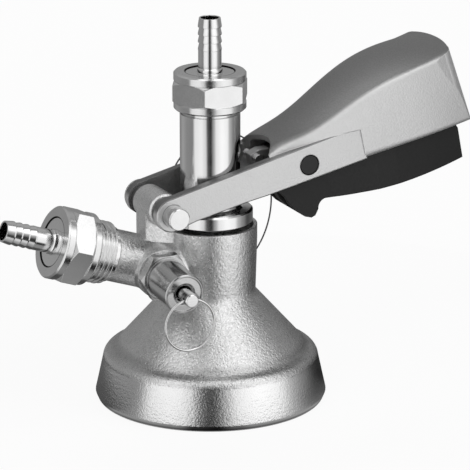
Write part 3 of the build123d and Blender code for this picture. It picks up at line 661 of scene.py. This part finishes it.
FLOOR_HALF = 6.0
FLOOR_GREY = 0.9
FLOOR_WHITE = 0.92            # share of plain white that the camera sees in the floor
WORLD_LIGHT = 0.35            # the background's strength as light, against 1 where it is seen
LAMP_TARGET = Vector((0.01, 0, 0.08))
LAMPS = (                     # name, place, size, watts
    ("key", (0.9, -0.9, 1.0), (0.7, 0.7), 8),
    ("fill", (-0.9, -0.7, 0.8), (0.7, 0.7), 4),
    ("back", (0.3, 1.1, 1.1), (0.9, 0.6), 5),
)
CAMERA_TARGET = Vector((9.64, -4.57, 72.0)) * MM
CAMERA_PLACE = Vector((-522.0, -1128.3, 457.2)) * MM
CAMERA_LENS = 230.6


def add_floor(scene):
    """Large pale floor that looks white and still takes a shadow."""
    bm = bmesh.new()
    bmesh.ops.create_grid(bm, x_segments=1, y_segments=1, size=FLOOR_HALF)
    mesh = bpy.data.meshes.new("floor")
    bm.to_mesh(mesh)
    bm.free()
    floor = bpy.data.objects.new("floor", mesh)
    scene.collection.objects.link(floor)
    finish = Finish("floor_paint")
    path = finish.node("ShaderNodeLightPath")
    seen = path + path.other("Is Glossy Ray") + path.other("Is Transmission Ray")
    glow = finish.node("ShaderNodeEmission", None, {"Color": grey(1.0), "Strength": 1.0})
    finish.set(Base_Color=grey(FLOOR_GREY), Roughness=0.55)
    share = finish.node("ShaderNodeMixShader", None,
                        (seen * FLOOR_WHITE, Value(finish, finish.shader.outputs[0]), glow))
    finish.feed("Material Output", "Surface", share)
    mesh.materials.append(finish.material)


def add_world(scene):
    """White background where it is seen or reflected, and a dimmer one as light."""
    world = bpy.data.worlds.new("studio")
    world.use_nodes = True
    scene.world = world
    graph = Graph(world.node_tree)
    path = graph.node("ShaderNodeLightPath")
    seen = path.maths("MAXIMUM", path, path.other("Is Transmission Ray"))
    seen = path.maths("MAXIMUM", seen, path.other("Is Glossy Ray"))
    level = graph.node("ShaderNodeMapRange", None,
                       {"Value": seen, "To Min": WORLD_LIGHT, "To Max": 1.0})
    graph.feed("Background", "Strength", level)
    world.node_tree.nodes["Background"].inputs["Color"].default_value = grey(1.0)


def add_tent(scene):
    """The reflected studio, which only glossy rays meet."""
    tent = bpy.data.objects.new("tent", tent_mesh())
    tent.data.materials.append(tent_glow(looks()))
    scene.collection.objects.link(tent)
    for ray in ("camera", "diffuse", "shadow", "transmission", "volume_scatter"):
        setattr(tent, "visible_" + ray, False)


def add_camera(scene):
    """Long lens aimed at the middle of the object."""
    data = bpy.data.cameras.new("camera")
    data.lens = CAMERA_LENS
    data.sensor_width = 36.0
    data.clip_start = 0.05
    camera = bpy.data.objects.new("camera", data)
    camera.location = CAMERA_PLACE
    camera.rotation_mode = "QUATERNION"
    camera.rotation_quaternion = (CAMERA_TARGET - CAMERA_PLACE).to_track_quat("-Z", "Y")
    scene.collection.objects.link(camera)
    scene.camera = camera


def area_light(name, place, size, energy):
    """Adds a soft lamp aimed at the object that leaves no highlight of its own."""
    lamp = bpy.data.lights.new(name, "AREA")
    lamp.shape = "RECTANGLE"
    lamp.size, lamp.size_y = size
    lamp.energy = energy
    light = bpy.data.objects.new(name, lamp)
    light.location = place
    aim = LAMP_TARGET - Vector(place)
    light.rotation_euler = aim.to_track_quat("-Z", "Y").to_euler()
    light.visible_glossy = False
    bpy.context.scene.collection.objects.link(light)


class COUPLER_OT_stage(bpy.types.Operator):
    """Set up the floor, the lamps and the camera"""

    bl_idname = "coupler.stage"
    bl_label = "Set the stage"

    def execute(self, context):
        scene = context.scene
        add_floor(scene)
        add_world(scene)
        add_tent(scene)
        for lamp in LAMPS:
            area_light(*lamp)
        add_camera(scene)
        scene.view_settings.view_transform = "Standard"
        return {"FINISHED"}


class COUPLER_PT_sidebar(bpy.types.Panel):
    """Buttons for each group of pieces"""

    bl_label = "Keg coupler"
    bl_idname = "COUPLER_PT_sidebar"
    bl_space_type = "VIEW_3D"
    bl_region_type = "UI"
    bl_category = "Coupler"

    def draw(self, context):
        for name in CouplerLooks.__annotations__:
            self.layout.prop(looks(), name)
        for operator in OPERATORS:
            self.layout.operator(operator.bl_idname)


OPERATORS = (COUPLER_OT_castings, COUPLER_OT_steel, COUPLER_OT_lever, COUPLER_OT_seals,
             COUPLER_OT_stage)
CLASSES = (CouplerLooks, *OPERATORS, COUPLER_PT_sidebar)


def register():
    for item in CLASSES:
        bpy.utils.register_class(item)
    bpy.types.Scene.coupler_looks = PointerProperty(type=CouplerLooks)


def unregister():
    del bpy.types.Scene.coupler_looks
    for item in reversed(CLASSES):
        bpy.utils.unregister_class(item)


def main():
    register()
    for operator in OPERATORS:
        group, name = operator.bl_idname.split(".")
        getattr(getattr(bpy.ops, group), name)()


if __name__ == "__main__":
    main()
